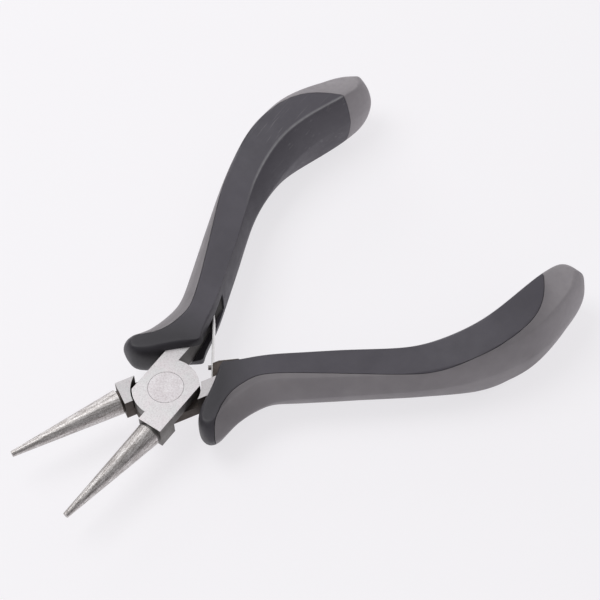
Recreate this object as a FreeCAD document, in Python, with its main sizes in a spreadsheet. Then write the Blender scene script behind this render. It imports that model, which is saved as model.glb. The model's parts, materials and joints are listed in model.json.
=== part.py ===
import FreeCAD, Part
import math
import os

import Sketcher

# Round nose pliers. Lengths are millimetres.
#
# Each half is drawn in its own frame: origin at the pivot, in the middle of the thickness,
# +X along the handle, +Y outward on the handle's own side, +Z up.
# Half B is half A turned over about the long axis, so one drawing serves both.
# In the finished part the handles point along +X and the jaws along -X.

SIZES = {
    # where the pivot stands in the part's frame
    "pivot_x": -25.72,
    "pivot_height": 8.63,
    "half_opening": 14.73,
    # lap joint
    "plate_half": 2.9,
    "lap_gap": 0.04,
    "lap_radius": 7.2,
    "relief_radius": 7.5,
    "flat_width": 5.7,
    # pivot rivet
    "rivet_radius": 2.5,
    "rivet_head_radius": 3.8,
    "rivet_head_depth": 1.0,
    "running_fit": 0.05,
    "head_gap": 0.07,
    # jaw
    "block_front": 9.3,
    "block_inner": 0.05,
    "jaw_length": 25.0,
    "jaw_root_radius": 2.75,
    "jaw_tip_radius": 0.65,
    "collar_radius": 2.4,
    "collar_length": 0.6,
    "jaw_root_offset": 2.85,
    # neck and tang
    "neck_inner": 2.0,
    "neck_front": 4.0,
    "wall_start": 12.0,
    "wall_end": 27.0,
    "wall_end_inner": 5.0,
    "wall_thickness": 4.4,
    "tang_half": 2.0,
    # spring lug, on half B only
    "lug_half": 2.6,
    "strip_foot_x": 10.5,
    "strip_foot_y": -0.6,
    "strip_angle": 65.4,
    "lug_reach": 2.2,
    "lug_tail": 1.6,
    "lug_tip_width": 1.4,
    "lug_back_x": 16.8,
    "lug_base_x": 17.5,
    "lug_base_depth": 1.6,
    "strip_tail": 1.5,
    "strip_length": 16.9,
    "strip_thickness": 0.3,
    "strip_half_height": 2.2,
    # spring rivet
    "spring_rivet_along": 1.6,
    "spring_rivet_height": 1.7,
    "spring_rivet_radius": 0.35,
    "spring_rivet_depth": 2.2,
    "spring_head_radius": 0.5,
    "spring_head_height": 0.7,
    # grips
    "prism_half": 12.0,
    "core_end": 83.2,
    "bevel_top": 4.9,
    "bevel_waist": 1.2,
    "bevel_back": 10.2,
    "bevel_front": 8.9,
    # how far cutting shapes reach past what they cut
    "clearance": 10.0,
}

# Tang outline behind the neck, seen from above: inner side out to the end, then back.
TANG = [(27.0, 5.0), (48.0, 14.6), (60.0, 17.8), (75.0, 17.8), (76.5, 19.0), (75.0, 21.0), (58.0, 21.6),
        (44.0, 18.2), (24.0, 9.4), (12.0, 5.9)]

# Grip sections across the handle: station, half thickness, inner waist, inner top edge,
# outer top edge, outer waist.
GRIP_SECTIONS = [
    (-2.0, 4.3, -7.0, -6.5, 13.0, 17.0),
    (10.0, 4.9, 0.2, 0.4, 10.6, 13.2),
    (20.0, 5.4, 2.3, 2.6, 9.0, 12.0),
    (30.0, 5.1, 6.0, 6.3, 13.3, 15.6),
    (42.0, 4.7, 10.4, 11.4, 18.5, 20.4),
    (54.0, 5.3, 13.5, 16.2, 23.0, 24.6),
    (66.0, 7.8, 14.4, 17.1, 25.0, 26.2),
    (76.0, 8.6, 13.0, 14.6, 23.6, 25.3),
    (86.0, 7.9, 9.7, 11.5, 18.4, 20.6),
    (96.0, 6.6, 6.5, 8.0, 12.0, 14.5),
]

# Ends of the grip seen from above: the guard lobe in front, round its nose, and the butt behind.
# A row of two numbers is a corner; a row of four is the middle and the end of an arc.
GRIP_FRONT = [(13.0, 0.25), (6.9, 5.7), (3.4, 8.9), (2.6, 12.0, 3.7, 14.7), (5.2, 15.2, 7.3, 14.6),
              (9.0, 30.0)]
GRIP_BUTT = [(80.0, 30.0), (82.0, 24.0), (90.2, 17.9), (92.8, 13.9, 91.4, 10.3), (88.5, 8.8)]

# Colour break between the dark core and the grey pad, seen from above, from the guard lobe to
# the butt end.
SEAM = [(3.6, 18.0), (5.0, 14.3), (7.2, 11.5), (9.8, 9.3), (12.8, 7.9), (16.5, 7.3), (21.0, 8.2),
        (30.0, 12.3), (40.0, 17.3), (50.0, 21.9), (59.0, 24.1), (67.0, 24.3), (75.0, 22.1),
        (80.1, 17.8), (82.8, 13.0)]

doc = FreeCAD.newDocument("round_nose_pliers")
sheet = doc.addObject("Spreadsheet::Sheet", "sizes")
for row, (alias, value) in enumerate(SIZES.items(), start=1):
    sheet.set("A%d" % row, alias)
    sheet.set("B%d" % row, str(value))
    sheet.setAlias("B%d" % row, alias)
doc.recompute()


def size(alias):
    """A driving dimension, read from the sheet."""
    return float(getattr(sheet, alias))


def bind(feature, **expressions):
    """Tie properties of a feature to the sheet; a double underscore stands for a dot."""
    for name, expression in expressions.items():
        feature.setExpression(name.replace("__", "."), expression)
    return feature


def cylinder(name, radius, height, base="0", x="0", y="0"):
    """Upright cylinder from the height `base` upward; all sizes are expressions."""
    shape = doc.addObject("Part::Cylinder", name)
    return bind(shape, Radius=radius, Height=height, Placement__Base__x=x, Placement__Base__y=y,
                Placement__Base__z=base)


def box(name, low, high):
    """Upright box between two corners; each corner is three expressions."""
    shape = doc.addObject("Part::Box", name)
    bind(shape, Length="%s - (%s)" % (high[0], low[0]), Width="%s - (%s)" % (high[1], low[1]),
         Height="%s - (%s)" % (high[2], low[2]))
    return bind(shape, Placement__Base__x=low[0], Placement__Base__y=low[1], Placement__Base__z=low[2])


def draw_outline(sketch, corners):
    """Closed outline of straight edges; each corner is two expressions, held from the origin."""
    points = [FreeCAD.Vector(float(sketch.evalExpression(across)), float(sketch.evalExpression(along)))
              for across, along in corners]
    for i, point in enumerate(points):
        sketch.addGeometry(Part.LineSegment(point, points[(i + 1) % len(points)]), False)
    for i, (across, along) in enumerate(corners):
        sketch.addConstraint(Sketcher.Constraint("Coincident", i, 2, (i + 1) % len(corners), 1))
        for kind, text, value in (("DistanceX", across, points[i].x),
                                  ("DistanceY", along, points[i].y)):
            index = sketch.addConstraint(Sketcher.Constraint(kind, -1, 1, i, 1, value))
            sketch.setExpression("Constraints[%d]" % index, text)
    return sketch


def outline(name, corners):
    """Closed outline in a sketch of its own."""
    return draw_outline(doc.addObject("Sketcher::SketchObject", name), corners)


def slab(name, corners, half):
    """Outline thickened by `half` above and below its plane."""
    extrusion = doc.addObject("Part::Extrusion", name)
    extrusion.Base = outline(name + "_outline", corners)
    extrusion.DirMode = "Normal"
    extrusion.Solid = True
    return bind(extrusion, LengthFwd=half, LengthRev=half)


def fuse(name, shapes):
    """Several overlapping shapes made one."""
    joined = doc.addObject("Part::MultiFuse", name)
    joined.Shapes = shapes
    return joined


def cut(name, base, tool):
    """Base with the tool's volume taken away."""
    result = doc.addObject("Part::Cut", name)
    result.Base = base
    result.Tool = tool
    return result


def jaw(side):
    """Round nose: a long cone on a short collar, its inner line parallel to the handle's axis."""
    taper = "atan((sizes.jaw_root_radius - sizes.jaw_tip_radius) / sizes.jaw_length)"
    cone = doc.addObject("Part::Cone", "cone_" + side)
    bind(cone, Radius1="sizes.jaw_root_radius", Radius2="sizes.jaw_tip_radius", Height="sizes.jaw_length")
    collar = doc.addObject("Part::Cylinder", "collar_" + side)
    bind(collar, Radius="sizes.collar_radius", Height="sizes.collar_length * 3")
    for piece, start in ((cone, "sizes.collar_length"), (collar, "-sizes.collar_length")):
        piece.Placement = FreeCAD.Placement(FreeCAD.Vector(), FreeCAD.Vector(0, 1, 0), -90)
        bind(piece, Placement__Base__x="-sizes.block_front - " + start,
             Placement__Base__y="-sizes.jaw_root_offset", Placement__Rotation__Yaw="-" + taper)
    return fuse("jaw_" + side, [cone, collar])


def lap_plate(side):
    """Disc of the lap joint in the upper layer, with a flat on each side."""
    disc = cylinder("disc_" + side, "sizes.lap_radius", "sizes.plate_half - sizes.lap_gap / 2",
                    base="sizes.lap_gap / 2")
    flats = box("flats_" + side, ("-sizes.lap_radius", "-sizes.flat_width", "0"),
                ("sizes.lap_radius", "sizes.flat_width", "sizes.plate_half"))
    plate = doc.addObject("Part::Common", "plate_" + side)
    plate.Base = disc
    plate.Tool = flats
    return plate


def shoulders(side):
    """Full-thickness steel around the joint, relieved in the lower layer for the other half."""
    block = box("block_" + side, ("-sizes.block_front", "-sizes.flat_width", "-sizes.plate_half"),
                ("-sizes.neck_front", "-sizes.block_inner", "sizes.plate_half"))
    neck = slab("neck_" + side, [
        ("sizes.neck_front", "sizes.neck_inner"),
        ("sizes.wall_start", "sizes.neck_inner"),
        ("sizes.wall_end", "sizes.wall_end_inner"),
        ("sizes.wall_end", "sizes.wall_end_inner + sizes.wall_thickness"),
        ("sizes.wall_start", "sizes.flat_width"),
        ("sizes.neck_front", "sizes.flat_width"),
    ], "sizes.plate_half")
    relief = cylinder("relief_" + side, "sizes.relief_radius", "sizes.plate_half + sizes.lap_gap / 2 + 1",
                      base="-sizes.plate_half - 1")
    return cut("shoulders_" + side, fuse("shoulder_steel_" + side, [block, neck]), relief)


def tang(side):
    """Bar inside the grip."""
    return slab("tang_" + side, [(str(x), str(y)) for x, y in TANG], "sizes.tang_half")


def spring_rivet_cylinder(name, radius, length, start, turn):
    """Cylinder across the leaf spring, from `start` in front of its rear face towards the lug.

    `turn` is 1 in half B's standing frame and -1 in its turned-over drawing.
    """
    shape = doc.addObject("Part::Cylinder", name)
    shape.Placement = FreeCAD.Placement(FreeCAD.Vector(), FreeCAD.Rotation(0, 90, 0))
    along = "sizes.spring_rivet_along"
    run = "cos(sizes.strip_angle * 1deg)"
    rise = "sin(sizes.strip_angle * 1deg)"
    bind(shape, Radius=radius, Height=length,
         Placement__Rotation__Yaw="%d * (sizes.strip_angle - 90)" % turn,
         Placement__Base__x="sizes.strip_foot_x + %s * %s - %s * %s" % (along, run, start, rise),
         Placement__Base__y="%d * (sizes.strip_foot_y + %s * %s + %s * %s)" % (turn, along, rise, start, run),
         Placement__Base__z="%d * sizes.spring_rivet_height" % turn)
    return shape


def rivet_seat(side):
    """Bore and head recess for the pivot rivet, with its running fit."""
    bore = cylinder("bore_" + side, "sizes.rivet_radius + sizes.running_fit", "sizes.plate_half * 3",
                    base="-sizes.plate_half * 1.5")
    recess = cylinder("recess_" + side, "sizes.rivet_head_radius + sizes.head_gap",
                      "sizes.rivet_head_depth + 1 + sizes.lap_gap",
                      base="sizes.plate_half - sizes.rivet_head_depth - sizes.lap_gap")
    return fuse("rivet_seat_" + side, [bore, recess])


def lug():
    """Lug on half B's neck that the leaf spring lies against, sloping back into the neck.

    Drawn turned over, like the half it belongs to.
    """
    foot_y = "-sizes.strip_foot_y"
    rise = "sin(sizes.strip_angle * 1deg)"
    run = "cos(sizes.strip_angle * 1deg)"
    tail = ("sizes.strip_foot_x - sizes.lug_tail * %s" % run,
            "%s + sizes.lug_tail * %s" % (foot_y, rise))
    tip = ("sizes.strip_foot_x + sizes.lug_reach * %s" % run,
           "%s - sizes.lug_reach * %s" % (foot_y, rise))
    tip_back = (tip[0] + " + sizes.lug_tip_width", tip[1])
    back = ("sizes.lug_back_x", "0")
    base = ("sizes.lug_base_x", "sizes.neck_inner + sizes.lug_base_depth")
    return slab("lug_body", [tail, tip, tip_back, back, base], "sizes.lug_half")


def steel_half(side):
    """One forging: lap plate, shoulders, tang and jaw, pierced for the pivot rivet."""
    pieces = [lap_plate(side), shoulders(side), tang(side), jaw(side)]
    if side == "b":
        pieces.append(lug())
    steel = fuse("steel_" + side, pieces)
    if side == "b":
        hole = spring_rivet_cylinder("lug_hole", "sizes.spring_rivet_radius",
                                     "sizes.spring_rivet_depth", "0", -1)
        steel = cut("drilled_steel_b", steel, hole)
    return cut("half_" + side, steel, rivet_seat(side))


def pivot_rivet():
    """Turned pin with a flush head at each end, revolved about its own axis."""
    body = doc.addObject("PartDesign::Body", "pivot_rivet")
    sketch = body.newObject("Sketcher::SketchObject", "rivet_profile")
    upright = [plane for plane in body.Origin.OriginFeatures if plane.Role == "XZ_Plane"][0]
    sketch.AttachmentSupport = [(upright, "")]
    sketch.MapMode = "FlatFace"
    shoulder = "sizes.plate_half - sizes.rivet_head_depth"
    corners = [("0", "-sizes.plate_half"), ("sizes.rivet_head_radius", "-sizes.plate_half"),
               ("sizes.rivet_head_radius", "-(%s)" % shoulder), ("sizes.rivet_radius", "-(%s)" % shoulder),
               ("sizes.rivet_radius", shoulder), ("sizes.rivet_head_radius", shoulder),
               ("sizes.rivet_head_radius", "sizes.plate_half"), ("0", "sizes.plate_half")]
    draw_outline(sketch, corners)
    turned = body.newObject("PartDesign::Revolution", "rivet_turning")
    turned.Profile = sketch
    turned.ReferenceAxis = (sketch, ["V_Axis"])
    turned.Angle = 360
    return body


def leaf_spring():
    """Flat strip along the lug's front face, drawn in half B's standing frame."""
    strip = doc.addObject("Part::Box", "strip")
    start = "sizes.strip_tail"
    strip.Placement = FreeCAD.Placement(FreeCAD.Vector(), FreeCAD.Rotation(1, 0, 0))
    bind(strip, Length="sizes.strip_length", Width="sizes.strip_thickness",
         Height="2 * sizes.strip_half_height", Placement__Rotation__Yaw="sizes.strip_angle",
         Placement__Base__x="sizes.strip_foot_x - %s * cos(sizes.strip_angle * 1deg)" % start,
         Placement__Base__y="sizes.strip_foot_y - %s * sin(sizes.strip_angle * 1deg)" % start,
         Placement__Base__z="-sizes.strip_half_height")
    hole = spring_rivet_cylinder("strip_hole", "sizes.spring_rivet_radius", "2 * sizes.strip_thickness",
                                 "sizes.strip_thickness", 1)
    return cut("leaf_spring", strip, hole)


def spring_rivet():
    """Small rivet that pins the strip to the lug, with a head in front."""
    shaft = spring_rivet_cylinder("spring_rivet_shaft", "sizes.spring_rivet_radius",
                                  "sizes.spring_rivet_depth + sizes.strip_thickness",
                                  "sizes.strip_thickness", 1)
    rivet_head = spring_rivet_cylinder("spring_rivet_head", "sizes.spring_head_radius",
                                       "sizes.spring_head_height",
                                       "(sizes.strip_thickness + sizes.spring_head_height)", 1)
    return fuse("spring_rivet", [shaft, rivet_head])


def point(x, y, z=0.0):
    """Point in a half's frame."""
    return FreeCAD.Vector(x, y, z)


def line(start, end):
    """Straight edge."""
    return Part.LineSegment(point(*start), point(*end)).toShape()


def arc(start, middle, end):
    """Round edge through three points."""
    return Part.Arc(point(*start), point(*middle), point(*end)).toShape()


def prism(edges):
    """Closed outline seen from above, taller than any grip."""
    reach = size("prism_half")
    face = Part.Face(Part.Wire(edges))
    face.translate(point(0, 0, -reach))
    return face.extrude(point(0, 0, 2 * reach))


def grip_loft():
    """Skin through the grip sections; each is a flat top and bottom joined by two bowed sides."""
    sections = []
    for x, half, inner_waist, inner_top, outer_top, outer_waist in GRIP_SECTIONS:
        sections.append(Part.Wire([
            line((x, inner_top, half), (x, outer_top, half)),
            arc((x, outer_top, half), (x, outer_waist, 0), (x, outer_top, -half)),
            line((x, outer_top, -half), (x, inner_top, -half)),
            arc((x, inner_top, -half), (x, inner_waist, 0), (x, inner_top, half))]))
    return Part.makeLoft(sections, True, False)


def grip_plan():
    """Outline of the grip's two ends seen from above, closed well clear of its inner side."""
    front, back = GRIP_FRONT[0], GRIP_BUTT[-1]
    clear = -size("clearance")
    rows = GRIP_FRONT + GRIP_BUTT + [(back[0], clear), (front[0], clear), front]
    edges = []
    for before, row in zip(rows, rows[1:]):
        start = before[-2:]
        edges.append(arc(start, row[:2], row[2:]) if len(row) == 4 else line(start, row))
    return prism(edges)


def lobe_bevel(side_up):
    """Wedge that slopes the lobe's front edge back to the grip's top (1) or bottom (-1) face."""
    top = side_up * size("bevel_top")
    waist = side_up * size("bevel_waist")
    clear = side_up * size("prism_half")
    back = size("bevel_back")
    front = size("bevel_front")
    reach = 2 * size("clearance")
    diagonal = math.sqrt(0.5)
    profile = [(back, clear), (back, top), (front, waist), (0, waist), (0, clear)]
    points = [point((d + reach) * diagonal, (d - reach) * diagonal, z) for d, z in profile]
    face = Part.Face(Part.makePolygon(points + points[:1]))
    return face.extrude(point(-2 * reach * diagonal, 2 * reach * diagonal, 0))


def pad_region():
    """Everything outside the colour break, and behind the core's rear end."""
    seam = Part.BSplineCurve()
    seam.interpolate([point(x, y) for x, y in SEAM])
    clear = size("clearance")
    rear = GRIP_SECTIONS[-1][0] + clear
    outside = SEAM[0][1] + 2 * clear
    corners = [SEAM[-1], (size("core_end"), -clear), (rear, -clear), (rear, outside), (-clear, outside),
               (-clear, SEAM[0][1]), SEAM[0]]
    edges = [seam.toShape()] + [line(a, b) for a, b in zip(corners, corners[1:])]
    return prism(edges)


def spring_channel():
    """Slot between the grip's upper and lower lips, open to the inner side, down to the steel wall."""
    half = size("plate_half")
    end = size("wall_end")
    clear = -size("clearance")
    corners = [(0.0, clear), (0.0, size("neck_inner")), (size("wall_start"), size("neck_inner")),
               (end, size("wall_end_inner")), (end, clear)]
    face = Part.Face(Part.makePolygon([point(x, y, -half) for x, y in corners + corners[:1]]))
    return face.extrude(point(0, 0, 2 * half))


def grip_shapes(steel):
    """Dark core around the tang, and the grey pad on its outer side and butt."""
    whole = grip_loft().common(grip_plan()).cut(lobe_bevel(1)).cut(lobe_bevel(-1)).cut(steel)
    pad = whole.common(pad_region())
    core = whole.cut(pad_region()).cut(spring_channel())
    return core, pad


def solid_feature(name, shape):
    """Finished shape kept as a feature of its own."""
    feature = doc.addObject("Part::Feature", name)
    feature.Shape = shape.Solids[0] if len(shape.Solids) == 1 else shape
    return feature


def place(feature, yaw, roll=0):
    """Stand a piece at the pivot, turned about the vertical and, for half B, turned over."""
    feature.Placement = FreeCAD.Placement(FreeCAD.Vector(), FreeCAD.Rotation(0, 0, roll))
    bind(feature, Placement__Base__x="sizes.pivot_x", Placement__Base__z="sizes.pivot_height",
         Placement__Rotation__Yaw=yaw)
    return feature


half_a = steel_half("a")
half_b = steel_half("b")
nodes = [half_a, half_b, pivot_rivet(), leaf_spring(), spring_rivet()]
doc.recompute()

STANDING_A = ("sizes.half_opening", 0)
STANDING_B = ("-sizes.half_opening", 0)
TURNED_OVER_B = ("-sizes.half_opening", 180)
core, pad = grip_shapes(doc.getObject("steel_a").Shape)
for side in ("a", "b"):
    nodes.append(solid_feature("grip_core_" + side, core))
    nodes.append(solid_feature("grip_pad_" + side, pad))
PLACES = {
    "half_a": STANDING_A, "grip_core_a": STANDING_A, "grip_pad_a": STANDING_A,
    "half_b": TURNED_OVER_B, "grip_core_b": TURNED_OVER_B, "grip_pad_b": TURNED_OVER_B,
    "pivot_rivet": STANDING_B, "leaf_spring": STANDING_B, "spring_rivet": STANDING_B,
}
for node in nodes:
    node.Label = node.Name
    place(node, *PLACES[node.Name])
doc.recompute()

for feature in doc.Objects:
    if "Invalid" in feature.State or "Error" in feature.State:
        raise RuntimeError("%s failed: %s" % (feature.Name, feature.State))
for node in nodes:
    if node.Shape.isNull() or not node.Shape.isValid():
        raise RuntimeError("%s has no valid shape" % node.Label)

os.makedirs("parts", exist_ok=True)
whole = Part.makeCompound([node.Shape for node in nodes]).optimalBoundingBox(False, False)
for node in nodes:
    node.Shape.exportStep("parts/%s.step" % node.Label)
    print("%-14s %d solid(s), %8.1f mm3" % (node.Label, len(node.Shape.Solids), node.Shape.Volume))
print("box", whole)
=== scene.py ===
import json
import math

import bmesh
import bpy
import numpy as np
from mathutils import Matrix, Quaternion, Vector


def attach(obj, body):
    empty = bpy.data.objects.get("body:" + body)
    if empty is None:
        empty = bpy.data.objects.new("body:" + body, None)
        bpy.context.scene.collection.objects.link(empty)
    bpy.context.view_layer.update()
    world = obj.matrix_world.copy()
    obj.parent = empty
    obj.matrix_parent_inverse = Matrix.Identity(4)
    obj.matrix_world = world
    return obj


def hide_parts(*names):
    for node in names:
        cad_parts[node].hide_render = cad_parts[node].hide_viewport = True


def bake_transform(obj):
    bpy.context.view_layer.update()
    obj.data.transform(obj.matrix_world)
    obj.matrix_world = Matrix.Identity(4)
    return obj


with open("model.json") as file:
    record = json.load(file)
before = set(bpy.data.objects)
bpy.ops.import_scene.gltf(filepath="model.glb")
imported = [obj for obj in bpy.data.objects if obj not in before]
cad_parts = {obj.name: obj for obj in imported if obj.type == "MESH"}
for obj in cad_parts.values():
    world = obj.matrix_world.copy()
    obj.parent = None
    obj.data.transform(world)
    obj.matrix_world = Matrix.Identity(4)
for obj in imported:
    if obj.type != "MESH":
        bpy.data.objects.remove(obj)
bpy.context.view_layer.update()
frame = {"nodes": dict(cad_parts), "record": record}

MM = 0.001
JOINTS = {joint["name"]: joint for joint in frame["record"]["behaviour"]["joints"]}
PIVOT = Vector(JOINTS["handle_pivot"]["pos_m"])
# Angle of each handle from the bisector, as the pliers lie open at rest.
HALF_OPENING = math.radians(14.73)

# Each half has its own frame: origin at the pivot, +X along the handle, +Y outward, in millimetres.
# Half B is half A turned over about the long axis.
HALF_A = Matrix.Translation(PIVOT) @ Matrix.Rotation(HALF_OPENING, 4, "Z") @ Matrix.Scale(MM, 4)
# Half B's frame before it is turned over: +Y is still to half A's side.
STANDING_B = Matrix.Translation(PIVOT) @ Matrix.Rotation(-HALF_OPENING, 4, "Z") @ Matrix.Scale(MM, 4)
HALF_B = STANDING_B @ Matrix.Rotation(math.pi, 4, "X")


# ---------------------------------------------------------------- camera
# The point it looks at is given from the pivot, and its own place as seen from that point.
AIM_FROM_PIVOT = Vector((36.8, 0.3, 0.0)) * MM
VIEW_DISTANCE = 462.6 * MM
VIEW_AZIMUTH = math.radians(-126.24)
VIEW_ELEVATION = math.radians(55.19)
VIEW_ROLL = math.radians(-3.93)
LENS = 127.46
SENSOR_WIDTH = 36.0
NEAR_CLIP = 0.01


def direction(azimuth, elevation):
    """Unit vector towards an azimuth and an elevation, in radians."""
    return Vector((math.cos(elevation) * math.cos(azimuth), math.cos(elevation) * math.sin(azimuth),
                   math.sin(elevation)))


def add_camera():
    """Camera above the jaws' side, looking down on the open pliers."""
    camera = bpy.data.objects.new("camera", bpy.data.cameras.new("camera"))
    bpy.context.scene.collection.objects.link(camera)
    camera.data.lens = LENS
    camera.data.sensor_width = SENSOR_WIDTH
    camera.data.clip_start = NEAR_CLIP
    towards = direction(VIEW_AZIMUTH, VIEW_ELEVATION)
    turn = (-towards).to_track_quat("-Z", "Y") @ Quaternion((0, 0, 1), VIEW_ROLL)
    place = PIVOT + AIM_FROM_PIVOT + towards * VIEW_DISTANCE
    camera.matrix_world = Matrix.Translation(place) @ turn.to_matrix().to_4x4()
    bpy.context.scene.camera = camera


# ---------------------------------------------------------------- node helpers
def new_material(name):
    """Material, with its node tree, its shader and the object coordinates."""
    material = bpy.data.materials.new(name)
    material.use_nodes = True
    tree = material.node_tree
    shader = tree.nodes["Principled BSDF"]
    place = tree.nodes.new("ShaderNodeTexCoord").outputs["Object"]
    return material, tree, shader, place


def stretched(tree, place, scale):
    """Object coordinates, scaled."""
    mapping = tree.nodes.new("ShaderNodeMapping")
    mapping.inputs["Scale"].default_value = scale
    tree.links.new(place, mapping.inputs["Vector"])
    return mapping.outputs["Vector"]


def noise(tree, vector, scale, detail=4.0, roughness=0.6):
    """Noise between 0 and 1; scale is in cycles per unit of the vector."""
    node = tree.nodes.new("ShaderNodeTexNoise")
    node.inputs["Scale"].default_value = scale
    node.inputs["Detail"].default_value = detail
    node.inputs["Roughness"].default_value = roughness
    tree.links.new(vector, node.inputs["Vector"])
    return node.outputs["Fac"]


def ramp(tree, value, stops):
    """Colour ramp; each stop is a place and a colour or a single value."""
    node = tree.nodes.new("ShaderNodeValToRGB")
    for i, (place, colour) in enumerate(stops):
        if not isinstance(colour, tuple):
            colour = (colour, colour, colour)
        stop = node.color_ramp.elements[i] if i < 2 else node.color_ramp.elements.new(place)
        stop.position = place
        stop.color = (*colour, 1.0)
    tree.links.new(value, node.inputs["Fac"])
    return node.outputs["Color"]


def mix(tree, amount, first, second):
    """Mix of two colours; amount, a socket or a number, is how much of the second there is."""
    node = tree.nodes.new("ShaderNodeMix")
    node.data_type = "RGBA"
    if isinstance(amount, (int, float)):
        node.inputs["Factor"].default_value = amount
    else:
        tree.links.new(amount, node.inputs["Factor"])
    tree.links.new(first, node.inputs["A"])
    tree.links.new(second, node.inputs["B"])
    return node.outputs["Result"]


def flat(tree, value):
    """One grey value."""
    node = tree.nodes.new("ShaderNodeRGB")
    node.outputs["Color"].default_value = (value, value, value, 1.0)
    return node.outputs["Color"]


def share(tree, value, low, high):
    """0 where the value is at low, 1 where it is at high, held beyond them."""
    node = tree.nodes.new("ShaderNodeMapRange")
    node.inputs["From Min"].default_value = low
    node.inputs["From Max"].default_value = high
    tree.links.new(value, node.inputs["Value"])
    return node.outputs["Result"]


def half_place(tree, place, turn):
    """Place in a half's own frame: millimetres from the pivot, X along the handle."""
    own = Matrix.Rotation(-turn, 4, "Z") @ Matrix.Translation(-PIVOT)
    mapping = tree.nodes.new("ShaderNodeMapping")
    mapping.inputs["Location"].default_value = own.translation / MM
    mapping.inputs["Rotation"].default_value = (0.0, 0.0, -turn)
    mapping.inputs["Scale"].default_value = (1 / MM, 1 / MM, 1 / MM)
    tree.links.new(place, mapping.inputs["Vector"])
    return mapping.outputs["Vector"]


def from_pivot(tree, place):
    """Distance from the pivot's centre, in metres."""
    node = tree.nodes.new("ShaderNodeVectorMath")
    node.operation = "DISTANCE"
    tree.links.new(place, node.inputs[0])
    node.inputs[1].default_value = PIVOT
    return node.outputs["Value"]


def add_bump(tree, shader, heights):
    """Bumps laid over one another; each is a height socket, a strength and a depth in metres."""
    normal = None
    for height, strength, depth in heights:
        node = tree.nodes.new("ShaderNodeBump")
        node.inputs["Strength"].default_value = strength
        node.inputs["Distance"].default_value = depth
        tree.links.new(height, node.inputs["Height"])
        if normal is not None:
            tree.links.new(normal, node.inputs["Normal"])
        normal = node.outputs["Normal"]
    tree.links.new(normal, shader.inputs["Normal"])


# ---------------------------------------------------------------- studio
WORLD_STRENGTH = 0.42
# From the horizon (0) to straight overhead (1).
SKY_STOPS = [(0.0, (0.30, 0.29, 0.30)), (0.25, (0.45, 0.44, 0.45)),
             (0.6, (0.92, 0.91, 0.93)), (1.0, (1.0, 1.0, 1.0))]
FLOOR_REACH = 3.0
FLOOR_COLOUR = (0.30, 0.295, 0.305, 1)
FLOOR_GLOW = (1.0, 0.985, 1.01, 1)
FLOOR_GLOW_STRENGTH = 0.70


def add_world():
    """White surroundings, bright overhead and dim near the horizon."""
    world = bpy.data.worlds.new("studio")
    bpy.context.scene.world = world
    world.use_nodes = True
    tree = world.node_tree
    background = tree.nodes["Background"]
    background.inputs["Strength"].default_value = WORLD_STRENGTH
    split = tree.nodes.new("ShaderNodeSeparateXYZ")
    tree.links.new(tree.nodes.new("ShaderNodeTexCoord").outputs["Generated"], split.inputs["Vector"])
    sky = ramp(tree, split.outputs["Z"], SKY_STOPS)
    tree.links.new(sky, background.inputs["Color"])


def add_softbox(name, azimuth, elevation, distance, width, power):
    """Square area lamp aimed at the object; angles in degrees, lengths in metres."""
    lamp = bpy.data.objects.new(name, bpy.data.lights.new(name, "AREA"))
    lamp.data.energy = power
    lamp.data.size = width
    lamp.location = distance * direction(math.radians(azimuth), math.radians(elevation))
    lamp.rotation_euler = (-lamp.location).to_track_quat("-Z", "Y").to_euler()
    bpy.context.scene.collection.objects.link(lamp)


def add_floor():
    """Pale floor that glows a little, so that shadows on it stay soft and light."""
    mesh = bpy.data.meshes.new("floor")
    corners = [(FLOOR_REACH * x, FLOOR_REACH * y, 0) for x, y in ((-1, -1), (1, -1), (1, 1), (-1, 1))]
    mesh.from_pydata(corners, [], [(0, 1, 2, 3)])
    floor = bpy.data.objects.new("floor", mesh)
    bpy.context.scene.collection.objects.link(floor)
    material, _, shader, _ = new_material("floor")
    shader.inputs["Base Color"].default_value = FLOOR_COLOUR
    shader.inputs["Roughness"].default_value = 0.9
    shader.inputs["Specular IOR Level"].default_value = 0.0
    shader.inputs["Emission Color"].default_value = FLOOR_GLOW
    shader.inputs["Emission Strength"].default_value = FLOOR_GLOW_STRENGTH
    mesh.materials.append(material)


# ---------------------------------------------------------------- shape helpers
def spline(points, fractions):
    """Smooth curve through the points (a natural cubic), read at places from 0 (first) to 1 (last)."""
    p = np.array(points, float)
    last = len(p) - 1
    # the slopes at the points solve one tridiagonal system
    system = np.diag(np.full(last + 1, 4.0)) + np.diag(np.ones(last), 1) + np.diag(np.ones(last), -1)
    system[0, :2] = (2.0, 1.0)
    system[last, -2:] = (1.0, 2.0)
    step = np.vstack([p[1:2] - p[0:1], p[2:] - p[:-2], p[last:] - p[last - 1:last]])
    slope = np.linalg.solve(system, 3.0 * step)
    place = np.clip(np.asarray(fractions, float) * last, 0, last)
    i = np.minimum(place.astype(int), last - 1)
    f = (place - i)[:, None]
    return (p[i] * (1 + 2 * f) * (1 - f) ** 2 + slope[i] * f * (1 - f) ** 2
            + p[i + 1] * f * f * (3 - 2 * f) + slope[i + 1] * f * f * (f - 1))


# Millimetres: points closer than the first are one point, and edges shorter than the second are dropped.
MERGE_DISTANCE = 1e-4
SLIVER_LENGTH = 1e-5


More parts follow.
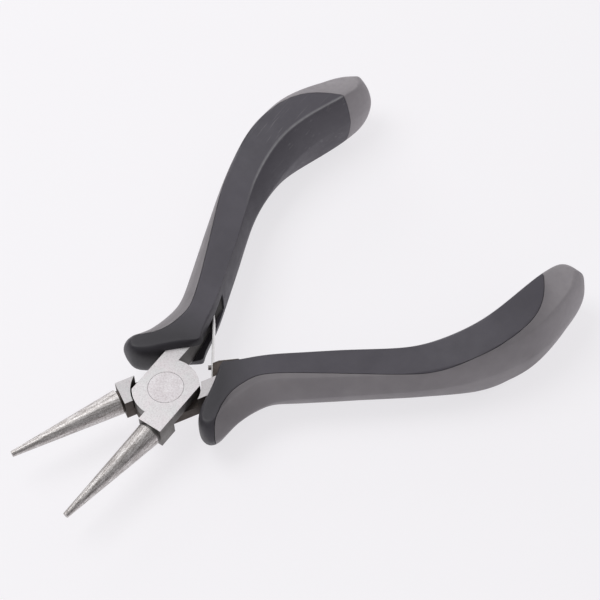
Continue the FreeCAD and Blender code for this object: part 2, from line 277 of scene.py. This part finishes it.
def mesh_object(name, points, faces, painted_highlight=None):
    """Closed mesh; the painted highlight, if given, is how much of it each point takes, from 0 to 1."""
    mesh = bpy.data.meshes.new(name)
    mesh.from_pydata([tuple(p) for p in points], [], faces)
    if painted_highlight is not None:
        mesh.attributes.new("painted_highlight", "FLOAT", "POINT").data.foreach_set("value", painted_highlight.astype(np.float32))
    tidy = bmesh.new()
    tidy.from_mesh(mesh)
    bmesh.ops.remove_doubles(tidy, verts=tidy.verts, dist=MERGE_DISTANCE)
    bmesh.ops.dissolve_degenerate(tidy, edges=tidy.edges, dist=SLIVER_LENGTH)
    bmesh.ops.recalc_face_normals(tidy, faces=tidy.faces)
    tidy.to_mesh(mesh)
    tidy.free()
    piece = bpy.data.objects.new(name, mesh)
    bpy.context.scene.collection.objects.link(piece)
    return piece


def prism(name, outline, low, high):
    """Closed outline, in plan, made solid between two heights."""
    n = len(outline)
    points = [(x, y, low) for x, y in outline] + [(x, y, high) for x, y in outline]
    faces = [tuple(range(n))[::-1], tuple(range(n, 2 * n))]
    faces += [(i, (i + 1) % n, n + (i + 1) % n, n + i) for i in range(n)]
    return mesh_object(name, points, faces)


def boolean(piece, tool, operation):
    """Replace piece's mesh by its union, difference or intersection with tool."""
    modifier = piece.modifiers.new("cut", "BOOLEAN")
    modifier.operation = operation
    modifier.solver = "EXACT"
    modifier.object = tool
    graph = bpy.context.evaluated_depsgraph_get()
    result = bpy.data.meshes.new_from_object(piece.evaluated_get(graph))
    piece.modifiers.clear()
    piece.data = result
    return piece


# ---------------------------------------------------------------- grips
# Rails of a grip, from the guard lobe's nose to the butt. Rows of the four rails belong together.
# INNER_EDGE and OUTER_EDGE bound the flat top; the waists are the outline at mid height.
INNER_EDGE = [
    (4.6, 12.2), (4.2, 11.4), (4.8, 10.2), (6.3, 8.5), (8.8, 6.1), (11.3, 3.2), (12.8, 0.9),
    (14.5, 1.3), (18.0, 2.4), (23.0, 3.85), (30.0, 6.45), (38.0, 9.6), (46.0, 13.1), (53.0, 15.9),
    (60.0, 17.2), (67.0, 17.0), (74.0, 15.2), (80.0, 13.2), (84.4, 12.0), (87.6, 12.0), (89.0, 14.2),
]
INNER_WAIST = [
    (2.9, 13.5), (2.6, 12.1), (2.9, 10.4), (4.4, 8.0), (6.9, 5.9), (10.0, 2.9), (12.6, 0.6),
    (14.6, 1.05), (18.2, 1.9), (23.0, 3.3), (30.0, 6.0), (38.0, 8.8), (46.5, 11.8), (53.5, 13.4),
    (60.5, 14.2), (67.5, 14.3), (74.5, 13.2), (80.3, 11.4), (85.6, 9.8), (90.2, 9.9), (92.8, 13.8),
]
OUTER_EDGE = [
    (4.6, 12.2), (5.2, 12.6), (6.1, 12.4), (7.3, 11.6), (8.9, 10.4), (11.0, 9.4), (13.6, 8.8),
    (16.3, 8.4), (19.5, 8.7), (24.3, 10.8), (31.0, 13.8), (38.5, 17.0), (46.0, 20.2), (53.0, 22.6),
    (60.0, 24.2), (67.0, 24.7), (74.0, 23.9), (79.5, 21.8), (83.8, 19.4), (87.0, 17.0), (89.0, 14.2),
]
OUTER_WAIST = [
    (2.9, 13.5), (3.6, 14.6), (5.1, 15.1), (7.2, 14.6), (9.4, 13.6), (11.9, 12.7), (15.0, 12.0),
    (18.3, 11.8), (21.3, 12.3), (25.5, 13.8), (31.5, 16.2), (38.5, 19.0), (46.0, 21.9), (53.0, 24.3),
    (60.0, 25.8), (67.5, 26.3), (74.5, 25.6), (81.0, 23.3), (86.3, 20.3), (90.6, 17.3), (92.8, 13.8),
]
# Squareness of the side walls, row by row: 2 is an ellipse, less is flatter with a harder edge.
INNER_SQUARE = ([2.2, 2.6, 2.8, 2.8, 3.0, 3.0, 3.0, 2.6, 1.8, 1.4, 1.35, 1.4] + [1.35] * 5
                + [1.4, 1.5, 1.7, 1.9])
OUTER_SQUARE = [2.2, 1.7, 1.5, 1.4, 1.4, 1.4, 1.4] + [1.35] * 10 + [1.4, 1.5, 1.7, 1.9]

# Half thickness along the handle, and how far the outer margin of the top slopes down beyond the
# colour break; round the butt, from MARGIN_END on, the slope eases off.
STATIONS = [0.0, 6.0, 12.0, 20.0, 28.0, 36.0, 44.0, 52.0, 60.0, 68.0, 76.0, 84.0, 92.0]
HALF_THICKNESS = [4.1, 4.6, 4.95, 5.4, 5.15, 4.9, 4.7, 5.1, 6.6, 8.1, 8.55, 8.0, 6.8]
MARGIN_DROP = [0.5, 0.6, 0.7, 0.5, 0.3, 0.2, 0.2, 0.3, 0.6, 1.0, 1.1, 1.1, 1.2]
MARGIN_END = 83.8
NARROWEST_MARGIN = 0.6

# Colour break between the dark core and the grey pad, seen from above.
SEAM = [
    (3.6, 18.0), (5.0, 14.3), (7.2, 11.5), (9.8, 9.3), (12.8, 7.9), (16.5, 7.3), (21.0, 8.2),
    (30.0, 12.3), (40.0, 17.3), (50.0, 21.9), (59.0, 24.1), (67.0, 24.3), (75.0, 22.1), (80.1, 17.8),
    (82.8, 13.0),
]
SEAM_GAP = 0.12
SEAM_FRACTIONS = np.linspace(0, 1, 200)

# Painted highlight on the top's edges and outer margin, for the light the rounded edges and sloping margin
# catch:
# stations along the handle and its strength there; the last is how it falls off from an edge, step by step
# down the wall.
INNER_EDGE_HIGHLIGHT = ((44.0, 56.0, 86.0, 89.0), (0.0, 1.0, 1.0, 0.3))
OUTER_EDGE_HIGHLIGHT = ((50.0, 68.0), (0.0, 1.0))
MARGIN_HIGHLIGHT = ((48.0, 66.0), (0.0, 0.6))
HIGHLIGHT_FALLOFF = (0.6, 1.0, 0.4)

# Fineness of the mesh: rows along a grip, columns over its top, steps down each wall.
ROWS = 361
TOP_COLUMNS = 16
WALL_STEPS = 18
PROFILE_FRACTIONS = np.linspace(0, 1, 241)


def along(values, x):
    """Value at station x of a quantity given at STATIONS, smooth between them."""
    curve = spline(np.column_stack([STATIONS, values]), PROFILE_FRACTIONS)
    return np.interp(x, curve[:, 0], curve[:, 1])


def beyond_seam(x, y, seam_line, outer_line):
    """Share of the way from the colour break to the outer edge of the top, from 0 to 1."""
    seam_y = np.interp(x, seam_line[:, 0], seam_line[:, 1])
    edge_y = np.interp(np.minimum(x, MARGIN_END), outer_line[:, 0], outer_line[:, 1])
    return np.clip((y - seam_y) / np.maximum(edge_y - seam_y, NARROWEST_MARGIN), 0, 1)


def grip_surface():
    """Closed skin of one grip: a flat top and bottom joined all round by bowed walls."""
    rows = np.linspace(0, 1, ROWS)
    inner_edge, inner_waist = spline(INNER_EDGE, rows), spline(INNER_WAIST, rows)
    outer_edge, outer_waist = spline(OUTER_EDGE, rows), spline(OUTER_WAIST, rows)
    seam_line = spline(SEAM, SEAM_FRACTIONS)
    outer_line = outer_edge[np.argsort(outer_edge[:, 0])]
    keys = np.linspace(0, 1, len(INNER_SQUARE))
    inner_square, outer_square = np.interp(rows, keys, INNER_SQUARE), np.interp(rows, keys, OUTER_SQUARE)

    across = np.linspace(0, 1, TOP_COLUMNS + 1)[None, :, None]
    top = inner_edge[:, None, :] * (1 - across) + outer_edge[:, None, :] * across
    beyond = beyond_seam(top[..., 0], top[..., 1], seam_line, outer_line)
    height = along(HALF_THICKNESS, top[..., 0]) - along(MARGIN_DROP, top[..., 0]) * beyond

    angle = np.linspace(0, math.pi / 2, WALL_STEPS + 1)[None, :]
    walls = []
    for edge, waist, square, edge_height in ((inner_edge, inner_waist, inner_square, height[:, 0]),
                                             (outer_edge, outer_waist, outer_square, height[:, -1])):
        power = (2.0 / square)[:, None]
        out = np.sin(angle) ** power
        up = np.cos(angle) ** power
        plan = edge[:, None, :] + (waist - edge)[:, None, :] * out[..., None]
        walls.append(np.dstack([plan, up * edge_height[:, None]]))
    # one line over the top of each row: inner waist, up the inner wall, over the top, down the outer wall
    middle = np.dstack([top, height[..., None]])[:, 1:-1]
    upper = np.concatenate([walls[0][:, ::-1], middle, walls[1]], axis=1)
    lower = upper[:, ::-1][:, 1:-1] * (1, 1, -1)
    rings = np.concatenate([upper, lower], axis=1)
    count = rings.shape[1]
    faces = [(r * count + c, r * count + (c + 1) % count,
              (r + 1) * count + (c + 1) % count, (r + 1) * count + c)
             for r in range(ROWS - 1) for c in range(count)]

    # Painted highlight at each point: over the top's outer margin, and along the edges and a few steps down
    # the walls.
    painted_highlight = np.zeros((ROWS, count))
    inner_column, outer_column = WALL_STEPS, WALL_STEPS + TOP_COLUMNS
    painted_highlight[:, inner_column:outer_column + 1] = beyond * np.interp(top[..., 0], *MARGIN_HIGHLIGHT)
    for steps_down, left in enumerate(HIGHLIGHT_FALLOFF):
        painted_highlight[:, inner_column - steps_down] = left * np.interp(inner_edge[:, 0], *INNER_EDGE_HIGHLIGHT)
        painted_highlight[:, outer_column + steps_down] = left * np.interp(outer_edge[:, 0], *OUTER_EDGE_HIGHLIGHT)
    return rings.reshape(-1, 3), faces, painted_highlight.reshape(-1)


# Plan box that clears the whole grip, and how far the colour break leans back as it crosses the inner side.
FRONT_X, REAR_X, NEAR_Y, FAR_Y = -10.0, 110.0, -10.0, 50.0
REAR_LEAN = 0.4
PRISM_HALF = 14.0
# Open channel on the grip's inner side, round the tang and the leaf spring.
CHANNEL = [(0.0, NEAR_Y), (0.0, 2.02), (12.0, 2.02), (25.9, 4.8), (25.9, NEAR_Y)]
CHANNEL_HALF = 2.91
# Edges sharper than this, in degrees, stay hard in the shading.
SMOOTH_ANGLE = 35


def offset_line(line, distance):
    """Line moved sideways, to its left."""
    run = np.gradient(line, axis=0)
    run /= np.linalg.norm(run, axis=1)[:, None]
    return line + np.column_stack([-run[:, 1], run[:, 0]]) * distance


def region(side):
    """Plan outline of the core (-1) or the pad (1), kept off the colour break by half the gap."""
    seam = offset_line(spline(SEAM, SEAM_FRACTIONS), side * SEAM_GAP / 2)
    rear = (seam[-1][0] + REAR_LEAN, NEAR_Y)
    if side < 0:
        rest = [rear, (FRONT_X, NEAR_Y), (FRONT_X, seam[0][1])]
    else:
        rest = [rear, (REAR_X, NEAR_Y), (REAR_X, FAR_Y), (FRONT_X, FAR_Y), (FRONT_X, seam[0][1])]
    return [tuple(p) for p in seam] + rest


def make_grip_pieces():
    """Core and pad of one grip, in the half's frame; the core is hollowed by the channel and the tang."""
    skin = mesh_object("grip_skin", *grip_surface())
    pieces = []
    for side in (-1, 1):
        piece = skin.copy()
        piece.data = skin.data.copy()
        bpy.context.scene.collection.objects.link(piece)
        tool = prism("tool", region(side), -PRISM_HALF, PRISM_HALF)
        boolean(piece, tool, "INTERSECT")
        bpy.data.objects.remove(tool)
        pieces.append(piece)
    core, pad = pieces
    channel = prism("channel", CHANNEL, -CHANNEL_HALF, CHANNEL_HALF)
    boolean(core, channel, "DIFFERENCE")
    forged_half = frame["nodes"]["half_a"].copy()
    forged_half.data = forged_half.data.copy()
    forged_half.data.transform(HALF_A.inverted())
    forged_half.parent = None
    bpy.context.scene.collection.objects.link(forged_half)
    boolean(core, forged_half, "DIFFERENCE")
    for extra in (channel, forged_half, skin):
        bpy.data.objects.remove(extra)
    return core, pad


def smooth_by_angle(mesh):
    """Smooth shading, with hard edges where faces meet at more than SMOOTH_ANGLE."""
    shape = bmesh.new()
    shape.from_mesh(mesh)
    limit = math.radians(SMOOTH_ANGLE)
    for face in shape.faces:
        face.smooth = True
    for edge in shape.edges:
        edge.smooth = edge.calc_face_angle(math.pi) < limit
    shape.to_mesh(mesh)
    shape.free()


def add_grips(materials):
    """The same core and pad on each half, in place of the plain CAD grips."""
    core, pad = make_grip_pieces()
    for half, frame_of_half in (("a", HALF_A), ("b", HALF_B)):
        for kind, source, slot in (("core", core, "grip_dark"), ("pad", pad, "grip_grey")):
            piece = source.copy()
            piece.data = source.data.copy()
            piece.data.transform(frame_of_half)
            smooth_by_angle(piece.data)
            piece.name = "grip_%s_%s_moulding" % (kind, half)
            piece.data.materials.clear()
            piece.data.materials.append(materials["grip_%s_%s" % (kind, half)])
            bpy.context.scene.collection.objects.link(piece)
            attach(piece, "handle_" + half)
            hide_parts("grip_%s_%s" % (kind, half))
    for source in (core, pad):
        bpy.data.objects.remove(source)


# ---------------------------------------------------------------- leaf spring
# The strip stands on half B's lug; its own frame has X along it, Y through it and Z up, in millimetres.
STRIP_FOOT = Matrix.Translation((10.5, -0.6, 0.0))
STRIP_LEAN = math.radians(65.4)
STRIP = STANDING_B @ STRIP_FOOT @ Matrix.Rotation(STRIP_LEAN, 4, "Z")
STRIP_TAIL = -1.5
STRIP_TIP = 15.4
STRIP_THICKNESS = 0.3
STRIP_HALF_HEIGHT = 2.2
STRIP_CHAMFER = 0.07
BEND_START = 2.2
BEND_END = 3.0
BEND_MARGIN = 0.2
RIVET_ALONG = 1.6
RIVET_HEIGHT = 1.7
RIVET_RADIUS = 0.36


def strip_mesh():
    """Flat strip with eased edges and a rivet hole, cut into lengths that are short where it bends."""
    t, h, c = STRIP_THICKNESS, STRIP_HALF_HEIGHT, STRIP_CHAMFER
    section = [(0, -h + c), (c, -h), (t - c, -h), (t, -h + c), (t, h - c), (t - c, h), (c, h), (0, h - c)]
    stations = np.concatenate([np.linspace(STRIP_TAIL, BEND_START - BEND_MARGIN, 8),
                               np.linspace(BEND_START, BEND_END, 13),
                               np.linspace(BEND_END + BEND_MARGIN, STRIP_TIP, 30)])
    n = len(section)
    points = [(x, y, z) for x in stations for y, z in section]
    faces = [(i * n + j, i * n + (j + 1) % n, (i + 1) * n + (j + 1) % n, (i + 1) * n + j)
             for i in range(len(stations) - 1) for j in range(n)]
    faces += [tuple(range(n))[::-1], tuple(range(len(points) - n, len(points)))]
    strip = mesh_object("leaf_spring_strip", points, faces)
    circle = [(RIVET_ALONG + RIVET_RADIUS * math.cos(a), RIVET_HEIGHT + RIVET_RADIUS * math.sin(a))
              for a in np.linspace(0, 2 * math.pi, 24, endpoint=False)]
    hole = prism("hole", circle, -2 * t, 2 * t)
    hole.data.transform(Matrix.Rotation(math.pi / 2, 4, "X"))
    boolean(strip, hole, "DIFFERENCE")
    bpy.data.objects.remove(hole)
    return strip


def add_spring(materials):
    """Strip in place of the CAD leaf spring, standing on half B's lug, with its placement baked into the
    mesh.
    """
    strip = strip_mesh()
    strip.data.transform(STRIP)
    smooth_by_angle(strip.data)
    strip.data.materials.clear()
    strip.data.materials.append(materials["leaf_spring"])
    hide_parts("leaf_spring")
    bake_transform(strip)


# ---------------------------------------------------------------- materials
# Noise is in cycles per millimetre where it uses a half's own frame, and per metre elsewhere.
# Each reach is a pair of distances from the pivot, in metres: where a look starts, and where it is full.
LOBE_REACH = (0.021, 0.013)
# The butt's reach bounds the painted light on the butt end.
PAINTED_BUTT_LIGHT_REACH = (0.078, 0.090)
SCUFF_REACH = (0.035, 0.050)
DARK = (0.101, 0.095, 0.112)
GREY = (0.264, 0.247, 0.260)
# Lighter tones for the painted highlight on the grips' edges and margins, and for the scuffs on the dark
# core.
SCUFF_AND_HIGHLIGHT_DARK = (0.34, 0.335, 0.35)
HIGHLIGHT_GREY = (0.40, 0.375, 0.394)
RUBBER_SPECULAR = 0.35

# Heights where the forged wall gives way to the ground face, stations where the block does to the nose,
# and the station from which the sides inside the grip lie wholly under painted shade.
GROUND_HEIGHT = (2.78, 2.86)
NOSE_STATION = (-9.72, -9.88)
FULL_SHADE_STATION = 20.0

# Tones of the steel.
SMEARED = (0.56, 0.515, 0.53)
GROUND = (0.76, 0.735, 0.75)
GLINT = (0.86, 0.845, 0.855)
WARM_CLOUD = (0.80, 0.73, 0.75)
COOL_CLOUD = (0.72, 0.74, 0.73)
# Painted shade for the sides along the neck and inside the grip.
PAINTED_CHANNEL_SHADE = [(0.3, (0.020, 0.019, 0.019)), (0.7, (0.045, 0.042, 0.040))]
NOSE = [(0.38, (0.24, 0.215, 0.205)), (0.5, (0.52, 0.495, 0.485)), (0.62, (0.86, 0.84, 0.835))]
RIVET_GRAIN = (5200.0, 5200.0, 5200.0)
STRIP_GRAIN = (9000.0, 9000.0, 900.0)


def scaled(colour, factor):
    """The colour, darker or lighter by a factor."""
    return tuple(c * factor for c in colour)


def shades(colour, low, high):
    """The colour times low and times high, as two stops of a ramp."""
    return [(0.3, scaled(colour, low)), (0.7, scaled(colour, high))]


def rubber(name, turn, colour, roughness, lobe_shade, butt_painted_light, scuff_and_highlight_colour, scuffed):
    """Matt moulded elastomer: fine grain, glossier guard lobe, painted edge and margin highlights, painted
    light on the butt and, if scuffed, faint scuffs.
    """
    material, tree, shader, place = new_material(name)
    own = half_place(tree, place, turn)
    reach = from_pivot(tree, place)
    lobe = share(tree, reach, *LOBE_REACH)
    butt = share(tree, reach, *PAINTED_BUTT_LIGHT_REACH)
    patches = noise(tree, own, 0.14, 3.0)
    fine = noise(tree, own, 0.9, 4.0)
    tone = ramp(tree, patches, shades(colour, 0.92, 1.10))
    tone = mix(tree, lobe, tone, ramp(tree, fine, shades(colour, lobe_shade * 0.92, lobe_shade)))
    # Painted light: the butt end is made lighter, as it faces the light.
    tone = mix(tree, butt, tone, ramp(tree, fine, shades(colour, butt_painted_light * 0.95, butt_painted_light * 1.05)))

    # The edges and the margin take a painted highlight, by a share stored on the mesh; the scuffs take the
    # same lighter tone.
    highlight_share = tree.nodes.new("ShaderNodeAttribute")
    highlight_share.attribute_name = "painted_highlight"
    lines = noise(tree, stretched(tree, own, (0.07, 3.0, 1.2)), 1.0, 3.0, 0.5)
    scuffs = ramp(tree, lines, [(0.61, 0.0), (0.70, scuffed)])
    spots = ramp(tree, noise(tree, own, 0.09, 2.0), [(0.46, 0.0), (0.56, 1.0)])
    where = mix(tree, share(tree, reach, *SCUFF_REACH), flat(tree, 0.0), spots)
    scuff_and_highlight_tone = ramp(tree, fine, shades(scuff_and_highlight_colour, 0.85, 1.15))
    tone = mix(tree, mix(tree, where, flat(tree, 0.0), scuffs), tone, scuff_and_highlight_tone)
    tone = mix(tree, highlight_share.outputs["Fac"], tone, scuff_and_highlight_tone)
    tree.links.new(tone, shader.inputs["Base Color"])

    gloss = ramp(tree, noise(tree, own, 0.42, 4.0), [(0.3, roughness - 0.06), (0.7, roughness + 0.06)])
    lobe_gloss = ramp(tree, noise(tree, own, 1.8, 4.0), [(0.3, roughness - 0.22), (0.7, roughness - 0.10)])
    tree.links.new(mix(tree, lobe, gloss, lobe_gloss), shader.inputs["Roughness"])
    shader.inputs["Specular IOR Level"].default_value = RUBBER_SPECULAR
    add_bump(tree, shader, [(noise(tree, own, 5.2, 3.0), 0.25, 0.00006)])
    return material


def forging(name, turn, ground_shade, wall_low, wall_high, neck_unshaded):
    """Steel half: ground top and bottom faces, forged sides darkened by finish and painted shade, brushed
    round nose.

    The last argument is how much of the side's tone is left along the neck under painted shade; inside the
    grip none is.
    """
    material, tree, shader, place = new_material(name)
    shader.inputs["Metallic"].default_value = 1.0
    own = half_place(tree, place, turn)
    split = tree.nodes.new("ShaderNodeSeparateXYZ")
    tree.links.new(own, split.inputs["Vector"])
    height = tree.nodes.new("ShaderNodeMath")
    height.operation = "ABSOLUTE"
    tree.links.new(split.outputs["Z"], height.inputs[0])
    ground = share(tree, height.outputs["Value"], *GROUND_HEIGHT)
    nose = share(tree, split.outputs["X"], *NOSE_STATION)

    speckle = noise(tree, own, 3.2, 5.0, 0.75)
    clouds = noise(tree, own, 0.35, 3.0)
    streaks = noise(tree, stretched(tree, own, (0.16, 2.6, 2.6)), 1.0, 5.0, 0.7)
    grit = noise(tree, own, 4.5, 3.0, 0.7)
    speckle_tone = ramp(tree, speckle, [(0.33, scaled(SMEARED, ground_shade)),
                                        (0.5, scaled(GROUND, ground_shade)),
                                        (0.66, scaled(GLINT, ground_shade))])
    cloud_tone = ramp(tree, clouds, [(0.35, scaled(WARM_CLOUD, ground_shade)),
                                     (0.65, scaled(COOL_CLOUD, ground_shade))])
    ground_tone = mix(tree, 0.35, speckle_tone, cloud_tone)
    wall_tone = ramp(tree, mix(tree, 0.5, speckle, clouds), [(0.36, wall_low), (0.62, wall_high)])
    # Painted shade on the sides: part of it along the neck, all of it inside the grip.
    unshaded_share = ramp(tree, share(tree, split.outputs["X"], 0.0, FULL_SHADE_STATION),
                    [(0.1, 1.0), (0.35, neck_unshaded), (0.78, neck_unshaded), (1.0, 0.0)])
    wall_tone = mix(tree, unshaded_share, ramp(tree, speckle, PAINTED_CHANNEL_SHADE), wall_tone)
    nose_tone = ramp(tree, mix(tree, 0.5, streaks, grit), NOSE)
    colour = mix(tree, nose, mix(tree, ground, wall_tone, ground_tone), nose_tone)
    tree.links.new(colour, shader.inputs["Base Color"])

    ground_gloss = ramp(tree, speckle, [(0.32, 0.40), (0.68, 0.54)])
    wall_gloss = ramp(tree, speckle, [(0.32, 0.50), (0.68, 0.68)])
    nose_gloss = ramp(tree, streaks, [(0.32, 0.36), (0.68, 0.50)])
    gloss = mix(tree, nose, mix(tree, ground, wall_gloss, ground_gloss), nose_gloss)
    tree.links.new(gloss, shader.inputs["Roughness"])
    add_bump(tree, shader, [(speckle, 0.30, 0.00003), (mix(tree, nose, clouds, streaks), 0.35, 0.00004)])
    return material


def steel(name, low, high, roughness, grain, depth):
    """Satin steel: mottled tone and grinding marks; grain is the fineness of the marks along x, y and z."""
    material, tree, shader, place = new_material(name)
    shader.inputs["Metallic"].default_value = 1.0
    mottle = noise(tree, place, 2600.0, 5.0, 0.75)
    clouds = noise(tree, place, 420.0, 3.0)
    marks = noise(tree, stretched(tree, place, grain), 1.0, 6.0, 0.7)
    tone = ramp(tree, mottle, [(0.34, low), (0.66, high)])
    cloud_tone = ramp(tree, clouds, [(0.3, scaled(low, 0.93)), (0.7, high)])
    tree.links.new(mix(tree, 0.3, tone, cloud_tone), shader.inputs["Base Color"])
    gloss = ramp(tree, marks, [(0.32, roughness - 0.08), (0.68, roughness + 0.08)])
    tree.links.new(gloss, shader.inputs["Roughness"])
    add_bump(tree, shader, [(marks, 0.35, depth), (mottle, 0.25, depth)])
    return material


def make_materials():
    """A material for each node: the halves' steel carries different painted shade, and only half A's grip
    core is scuffed.
    """
    made = {
        # The halves' steel differs by painted shade: half A's sides along the neck, half B's ground faces and
        # sides.
        "half_a": forging("forged_steel_a", HALF_OPENING, ground_shade=1.0, wall_low=(0.17, 0.16, 0.155),
                          wall_high=(0.33, 0.32, 0.315), neck_unshaded=0.5),
        "half_b": forging("forged_steel_b", -HALF_OPENING, ground_shade=0.82, wall_low=(0.060, 0.050, 0.044),
                          wall_high=(0.15, 0.13, 0.12), neck_unshaded=1.0),
        "pivot_rivet": steel("rivet_steel", (0.56, 0.505, 0.52), (0.93, 0.91, 0.93), roughness=0.46,
                             grain=RIVET_GRAIN, depth=0.00004),
        "spring_rivet": steel("dark_rivet_steel", (0.12, 0.11, 0.105), (0.34, 0.32, 0.31), roughness=0.46,
                              grain=RIVET_GRAIN, depth=0.00004),
        # The strip's near-white tone stands in for the highlight along it: painted highlight.
        "leaf_spring": steel("spring_steel", (0.90, 0.89, 0.88), (1.0, 0.99, 0.98), roughness=0.36,
                             grain=STRIP_GRAIN, depth=0.00002),
    }
    for half, turn, scuffed in (("a", HALF_OPENING, 0.25), ("b", -HALF_OPENING, 0.0)):
        made["grip_core_" + half] = rubber("grip_dark_" + half, turn, DARK, roughness=0.58, lobe_shade=0.46,
                                           butt_painted_light=1.0, scuff_and_highlight_colour=SCUFF_AND_HIGHLIGHT_DARK, scuffed=scuffed)
        # The pads' butt ends take painted light.
        made["grip_pad_" + half] = rubber("grip_grey_" + half, turn, GREY, roughness=0.60, lobe_shade=0.9,
                                          butt_painted_light=1.5, scuff_and_highlight_colour=HIGHLIGHT_GREY, scuffed=0.0)
    return made


def dress_cad_nodes(materials):
    """CAD nodes that stay in view take the detailed materials."""
    for name in ("half_a", "half_b", "pivot_rivet", "spring_rivet"):
        for slot in frame["nodes"][name].material_slots:
            slot.material = materials[name]


# ---------------------------------------------------------------- scene
bpy.context.scene.view_settings.view_transform = "Standard"
add_camera()
add_world()
add_softbox("key", azimuth=120, elevation=62, distance=0.8, width=0.5, power=2.4)
add_softbox("side", azimuth=76, elevation=17, distance=0.7, width=0.4, power=0.9)
add_floor()
materials = make_materials()
dress_cad_nodes(materials)
add_grips(materials)
add_spring(materials)
